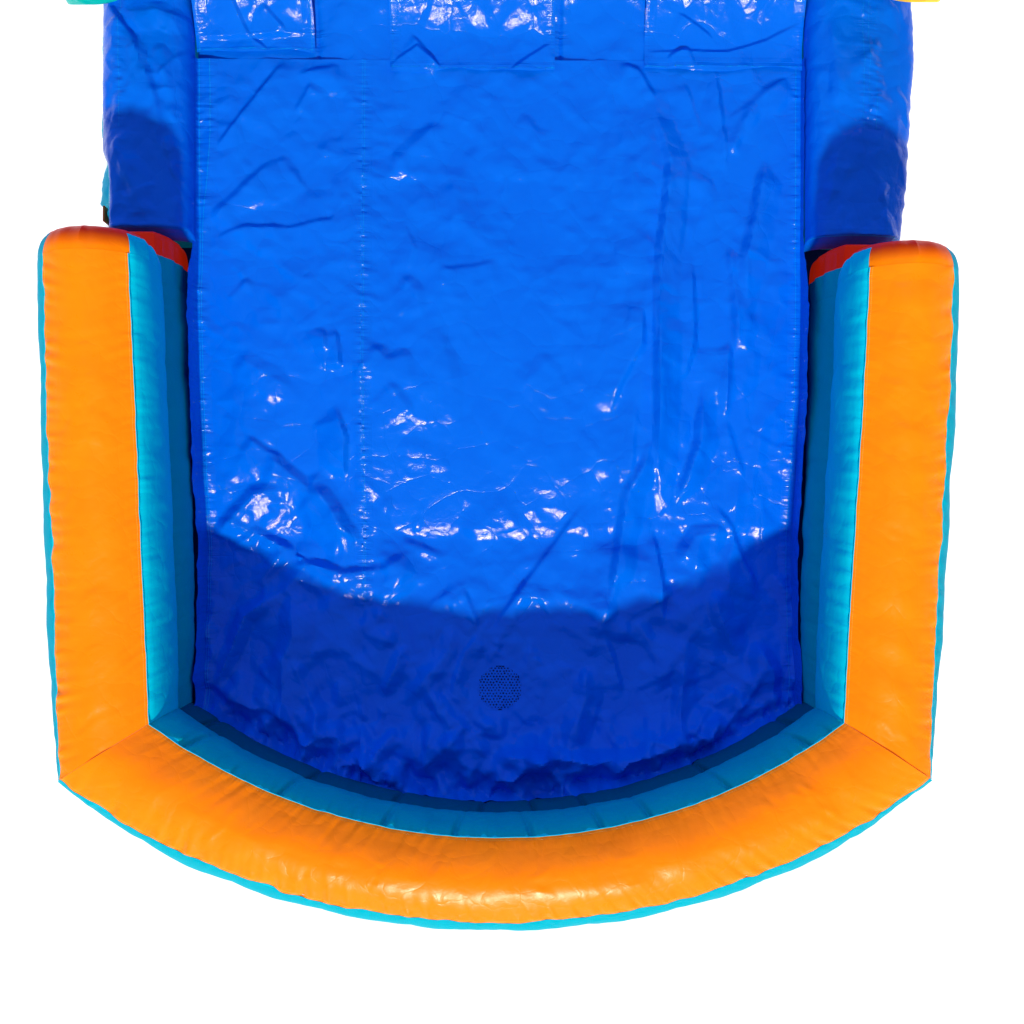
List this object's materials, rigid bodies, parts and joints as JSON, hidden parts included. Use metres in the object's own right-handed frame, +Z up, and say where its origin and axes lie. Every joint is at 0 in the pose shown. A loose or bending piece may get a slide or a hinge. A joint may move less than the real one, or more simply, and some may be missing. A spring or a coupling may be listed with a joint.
{
  "type": "inflatable water slide",
  "caption": "Inflatable water slide with a splash pool behind two-lobed walls, a low landing, a channelled lane between padded rails, a platform and a climbing wall.",
  "frame": {"origin": "on the ground under the middle of the splash pool, on the centre plane, on the underside of the ground sheet", "axes": "+X to the right seen from the pool's front wall, +Y from the pool's front wall to the climbing wall, +Z up"},
  "size_m": [2.1792, 5.7055, 2.0674],
  "materials": {
    "orange_vinyl": "glossy",
    "cyan_vinyl": "satin",
    "blue_sheet": "glossy, crumpled",
    "blue_ground_sheet": "matt",
    "green_vinyl": "satin",
    "yellow_vinyl": "satin",
    "webbing": "woven",
    "zip_tape": "woven",
    "fitting_steel": "satin"
  },
  "bodies": {
    "slide": {"air_inlet_sleeve": "cyan_vinyl", "air_inlet_tie_strap": "webbing", "climbing_step_1": "yellow_vinyl", "climbing_step_2": "green_vinyl", "climbing_step_3": "yellow_vinyl", "climbing_step_4": "green_vinyl", "climbing_wall": "blue_sheet", "deflation_flap_hem": "cyan_vinyl", "deflation_zip_tape": "zip_tape", "drain_patch": "blue_sheet", "front_wall_lower_tube": "cyan_vinyl", "front_wall_top_band": "orange_vinyl", "front_wall_upper_tube": "cyan_vinyl", "landing_bed": "blue_ground_sheet", "lane_sheet": "blue_sheet", "left_back_anchor_tab": "webbing", "left_landing_anchor_tab": "webbing", "left_landing_bolster": "cyan_vinyl", "left_landing_cover": "blue_sheet", "left_lower_hand_loop": "webbing", "left_middle_anchor_tab": "webbing", "left_slide_rail": "green_vinyl", "left_slide_wall": "cyan_vinyl", "left_upper_hand_loop": "webbing", "left_wall_lower_end": "orange_vinyl", "left_wall_lower_tube": "cyan_vinyl", "left_wall_top_band": "orange_vinyl", "left_wall_upper_end": "orange_vinyl", "left_wall_upper_tube": "cyan_vinyl", "platform_bed": "cyan_vinyl", "platform_mat": "blue_sheet", "pool_ground_sheet": "blue_ground_sheet", "pool_liner": "blue_sheet", "right_back_anchor_tab": "webbing", "right_landing_anchor_tab": "webbing", "right_landing_bolster": "cyan_vinyl", "right_landing_cover": "blue_sheet", "right_lower_hand_loop": "webbing", "right_middle_anchor_tab": "webbing", "right_slide_rail": "yellow_vinyl", "right_slide_wall": "cyan_vinyl", "right_upper_hand_loop": "webbing", "right_wall_lower_end": "orange_vinyl", "right_wall_lower_tube": "cyan_vinyl", "right_wall_top_band": "orange_vinyl", "right_wall_upper_end": "orange_vinyl", "right_wall_upper_tube": "cyan_vinyl", "slide_bed": "cyan_vinyl"},
    "left_landing_anchor_ring": {"left_landing_anchor_ring": "fitting_steel"},
    "left_middle_anchor_ring": {"left_middle_anchor_ring": "fitting_steel"},
    "left_back_anchor_ring": {"left_back_anchor_ring": "fitting_steel"},
    "right_landing_anchor_ring": {"right_landing_anchor_ring": "fitting_steel"},
    "right_middle_anchor_ring": {"right_middle_anchor_ring": "fitting_steel"},
    "right_back_anchor_ring": {"right_back_anchor_ring": "fitting_steel"},
    "zip_slider": {"deflation_zip_slider": "fitting_steel"},
    "deflation_flap": {"deflation_flap": "cyan_vinyl"}
  },
  "joints": [
    {"name": "left_landing_anchor_swing", "type": "hinge", "parent": "slide", "child": "left_landing_anchor_ring", "pos_m": [-1.0269, 0.855, 0.14], "axis": [0, 1, 0], "range_deg": [0, 110]},
    {"name": "left_middle_anchor_swing", "type": "hinge", "parent": "slide", "child": "left_middle_anchor_ring", "pos_m": [-1.0269, 2.30213, 0.14], "axis": [0, 1, 0], "range_deg": [0, 110]},
    {"name": "left_back_anchor_swing", "type": "hinge", "parent": "slide", "child": "left_back_anchor_ring", "pos_m": [-1.0269, 3.95023, 0.14], "axis": [0, 1, 0], "range_deg": [0, 110]},
    {"name": "right_landing_anchor_swing", "type": "hinge", "parent": "slide", "child": "right_landing_anchor_ring", "pos_m": [1.0269, 0.855, 0.14], "axis": [0, -1, 0], "range_deg": [0, 110]},
    {"name": "right_middle_anchor_swing", "type": "hinge", "parent": "slide", "child": "right_middle_anchor_ring", "pos_m": [1.0269, 2.30213, 0.14], "axis": [0, -1, 0], "range_deg": [0, 110]},
    {"name": "right_back_anchor_swing", "type": "hinge", "parent": "slide", "child": "right_back_anchor_ring", "pos_m": [1.0269, 3.95023, 0.14], "axis": [0, -1, 0], "range_deg": [0, 110]},
    {"name": "zip_slide", "type": "slide", "parent": "slide", "child": "zip_slider", "axis": [0, 1, 0], "range_m": [0, 0.27]},
    {"name": "flap_hinge", "type": "hinge", "parent": "slide", "child": "deflation_flap", "pos_m": [1.0343, 3.27023, 0.20485], "axis": [0, -1, 0], "range_deg": [0, 120]}
  ]
}
